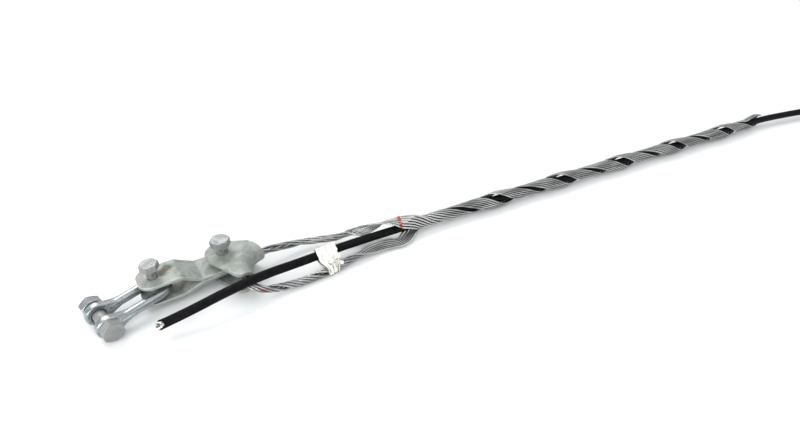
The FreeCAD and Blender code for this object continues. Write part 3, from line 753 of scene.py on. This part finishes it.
# Flaps of the tape's ends: root, way, lift, width, length, turns that it curls, seed
FLAPS = (((230.0, -12.0, 15.0), (1, -0.2, -0.45), (0, -0.3, 1), 6.5, 9.5, 0.16, 4.0),
         ((229.0, -18.0, 12.0), (1, -0.1, -0.5), (0, -0.6, 0.8), 6.5, 12.0, 0.18, 5.0),
         ((221.0, -22.0, 11.0), (0.1, -0.3, -1), (-0.2, -1, 0.2), 6.0, 8.5, 0.2, 6.0),
         ((224.0, -17.0, 14.5), (0.5, -0.75, -0.5), (0.2, -0.2, 1), 7.0, 9.0, 0.35, 7.0),
         ((228.5, -20.0, 11.0), (0.8, -0.5, -0.6), (0.1, -0.5, 0.8), 5.0, 7.0, 0.45, 8.0))
WRAP_SEED = 2.0


# Ring of (place, outward, looseness, share of the way from the tail down to the leg)
def tape_loop(x):
    t = (x - TIED_FROM) / TIED_RUN
    tail_at, leg_at = (Vector((y + aside * t, FLOOR + height + climb * t))
                       for y, height, aside, climb in (TIED_TAIL, TIED_LEG))
    axis = (tail_at - leg_at).normalized()
    square = Vector((-axis.y, axis.x))
    points = []
    for k in range(-6, 7):
        a = math.radians(OVER_STEP * k)
        way = axis * math.cos(a) - square * math.sin(a)
        slack = SLACK * max(0.0, math.cos(a + 0.3)) ** 2
        spot = tail_at + way * (TAIL_CLEAR + slack)
        points.append((spot, way, 0.1 + 0.16 * slack, 0.1 - 0.01 * k))
    for share in DOWN_SHARES:
        aside = 5.3 - 0.5 * share - 2.6 * math.sin(math.pi * share)
        points.append((tail_at.lerp(leg_at, share) - square * aside, -square, 0.6, share))
    for k in range(-5, 6):
        a = math.radians(UNDER_STEP * k)
        way = square * math.sin(a) - axis * math.cos(a)
        points.append((leg_at + way * LEG_CLEAR, way, 0.8, 0.95))
    for share in UP_SHARES:
        aside = 5.4 - 0.5 * share - 0.5 * math.sin(math.pi * share)
        spot = tail_at.lerp(leg_at, share) + square * aside
        points.append((spot, square, 0.15 + 0.8 * share, share))
    return points


def crumple(place, seed, size):
    away = Vector((seed, seed * 0.7, seed * 1.3))
    rough = noise.noise_vector(place * 0.16 + away) * size
    fine = noise.noise_vector(place * 0.5 + away) * size * 0.45
    return place + rough + fine


# The loop drawn out from hem to hem, with slanting pleats where it is loose
def tape_wrap():
    rings = []
    for i in range(TAPE_COLUMNS + 1):
        u = i / TAPE_COLUMNS
        ring = []
        section = tape_loop(TAPE_FROM + (TAPE_TO - TAPE_FROM) * u)
        for k, (place, outward, loose, down) in enumerate(section):
            ragged = 1.2 * noise.noise(Vector((k * 0.8, u * 0.5, 7.0))) * abs(2 * u - 1) ** 2
            x = between(LEFT_HEM, down) * (1 - u) + between(RIGHT_HEM, down) * u + ragged
            slant = u * 20 - down * 5
            waves = 0.8 * math.sin(slant) + 0.55 * math.sin(slant * 2.3 + 1.0) * (0.4 + u)
            spread = place + outward * (loose * waves + 0.5 * loose * (1 + u))
            ring.append(crumple(Vector((x, *spread)), WRAP_SEED, 0.2 + 0.9 * loose))
        rings.append(ring)
    return skin(rings, caps=False)


# Loose end of the tape, which tapers and curls away from its root
def flap(root, way, lift, width, length, turns, seed):
    way = Vector(way).normalized()
    lift = Vector(lift).normalized()
    across = way.cross(lift).normalized()
    reach = length / (turns * math.tau)
    corners = []
    for i in range(FLAP_ROWS + 1):
        t = i / FLAP_ROWS
        a = turns * math.tau * t
        place = above(*root) + way * math.sin(a) * reach + lift * (1 - math.cos(a)) * reach
        for k in range(FLAP_COLUMNS + 1):
            aside = across * width * (k / FLAP_COLUMNS - 0.5) * (1 - 0.55 * t)
            spot = place + aside + lift * 0.5 * math.sin(k * 2.1 + t * 3)
            corners.append(crumple(spot, seed, 0.6))
    n = FLAP_COLUMNS + 1
    faces = [(i * n + k, i * n + k + 1, (i + 1) * n + k + 1, (i + 1) * n + k)
             for i in range(FLAP_ROWS) for k in range(FLAP_COLUMNS)]
    return corners, faces


def tie_tape():
    corners, faces = joined([tape_wrap(), *(flap(*row) for row in FLAPS)])
    lowest = FLOOR + TAPE_LOWEST
    corners = [Vector((c.x, c.y, max(c.z, lowest))) for c in corners]
    mesh = mesh_of("tie_tape_wrap", corners, faces)
    piece = keep("tie_tape_wrap", mesh, white_tape, "grip", "tape", "tie_tape")
    shell = piece.modifiers.new("shell", "SOLIDIFY")
    shell.thickness = TAPE_THICKNESS * MM
    smooth = piece.modifiers.new("smooth", "SUBSURF")
    smooth.levels = 1
    smooth.render_levels = 1


tie_tape()

# Pieces that keep their solids: finish, and width of the rounded edges
FINISHES = {
    "shackle": (bright_zinc, 0.5), "shackle_bolt": (pin_zinc, 0.45), "shackle_nut": (nut_zinc, 0.3),
    "link_plate_upper": (sheet_zinc, 0.6), "link_plate_lower": (sheet_zinc, 0.6),
    "link_bolt": (bolt_zinc, 0.5), "link_nut": (bolt_zinc, 0.3),
    "thimble": (sheet_zinc, 0.6), "thimble_bolt": (bolt_zinc, 0.5), "thimble_nut": (bolt_zinc, 0.3),
    "cable_gripped": (black, 0.0),
}
WELD_REACH = 0.002
SAME_PLANE = 0.6
SHARP = 24


def round_edges(solid, width, edge_slot):
    weld = solid.modifiers.new("weld", "WELD")
    weld.merge_threshold = WELD_REACH * MM
    flat = solid.modifiers.new("flat", "DECIMATE")
    flat.decimate_type = "DISSOLVE"
    flat.angle_limit = math.radians(SAME_PLANE)
    bevel = solid.modifiers.new("edge", "BEVEL")
    bevel.width = width * MM
    bevel.segments = 3
    bevel.limit_method = "ANGLE"
    bevel.angle_limit = math.radians(SHARP)
    bevel.material = edge_slot
    even = solid.modifiers.new("even", "WEIGHTED_NORMAL")
    even.mode = "FACE_AREA"
    even.keep_sharp = False


for node, (material, edge) in FINISHES.items():
    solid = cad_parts[node]
    solid.data.materials.clear()
    solid.data.materials.append(material)
    if material is sheet_zinc:
        solid.data.materials.append(sheet_edge)
    if edge:
        round_edges(solid, edge, 1 if material is sheet_zinc else -1)

# Floor, just under the lowest piece
FLOOR_HALF = 30000
FLOOR_DROP = 0.05
floor = bpy.data.objects.new("floor", bpy.data.meshes.new("floor"))
floor.data.from_pydata([Vector((x * FLOOR_HALF, y * FLOOR_HALF, FLOOR - FLOOR_DROP)) * MM
                        for x, y in ((-1, -1), (1, -1), (1, 1), (-1, 1))], [], [(0, 1, 2, 3)])
bpy.context.collection.objects.link(floor)
floor.data.materials.append(Graph("floor_pale").finish(rgb(0.85, 0.86, 0.86), 0.9, 0.0))

# Lamps: place, aim, width and height in metres, power in watts
GRIP_MIDDLE = (0.45, 0.0, 0.0)
LOOP_MIDDLE = (0.15, 0.0, 0.0)
LAMPS = {
    "key": ((-0.1, 1.3, 1.7), GRIP_MIDDLE, 1.4, 1.0, 22.0),
    "side": ((-1.35, -0.5, 0.65), LOOP_MIDDLE, 1.0, 0.6, 15.0),
    "fill": ((0.9, -1.6, 1.5), GRIP_MIDDLE, 1.6, 1.2, 3.0),
    "front": ((-0.5, -1.3, 0.55), LOOP_MIDDLE, 0.7, 0.45, 6.0),
}
for name, (place, aim, width, height, power) in LAMPS.items():
    data = bpy.data.lights.new(name, "AREA")
    data.shape = "RECTANGLE"
    data.size = width
    data.size_y = height
    data.energy = power
    lamp = bpy.data.objects.new(name, data)
    lamp.location = place
    lamp.rotation_euler = (Vector(aim) - Vector(place)).to_track_quat("-Z", "Y").to_euler()
    bpy.context.collection.objects.link(lamp)

# A pale dome, bright overhead, dim lower down, and as pale as the floor at the horizon. It is the
# sum of two fades, each given by the height at which it ends, its strength at the horizon and its
# strength from that height up.
DOME = ((0.75, 0.5, 1.04), (0.25, 0.28, 0.0))
world = bpy.data.worlds.new("studio")
world.use_nodes = True
tree = world.node_tree
sky = tree.nodes["Background"]
sky.inputs["Color"].default_value = rgb(0.96, 0.98, 1.0)
towards = tree.nodes.new("ShaderNodeTexCoord")
split = tree.nodes.new("ShaderNodeSeparateXYZ")
total = tree.nodes.new("ShaderNodeMath")
tree.links.new(towards.outputs["Generated"], split.inputs["Vector"])
for term, (top, low, high) in zip(total.inputs, DOME):
    fade = tree.nodes.new("ShaderNodeMapRange")
    fade.interpolation_type = "SMOOTHSTEP"
    for key, number in (("From Min", 0.0), ("From Max", top), ("To Min", low), ("To Max", high)):
        fade.inputs[key].default_value = number
    tree.links.new(split.outputs["Z"], fade.inputs["Value"])
    tree.links.new(fade.outputs["Result"], term)
tree.links.new(total.outputs["Value"], sky.inputs["Strength"])
bpy.context.scene.world = world
bpy.context.scene.view_settings.view_transform = "Standard"
bpy.context.scene.view_settings.look = "None"
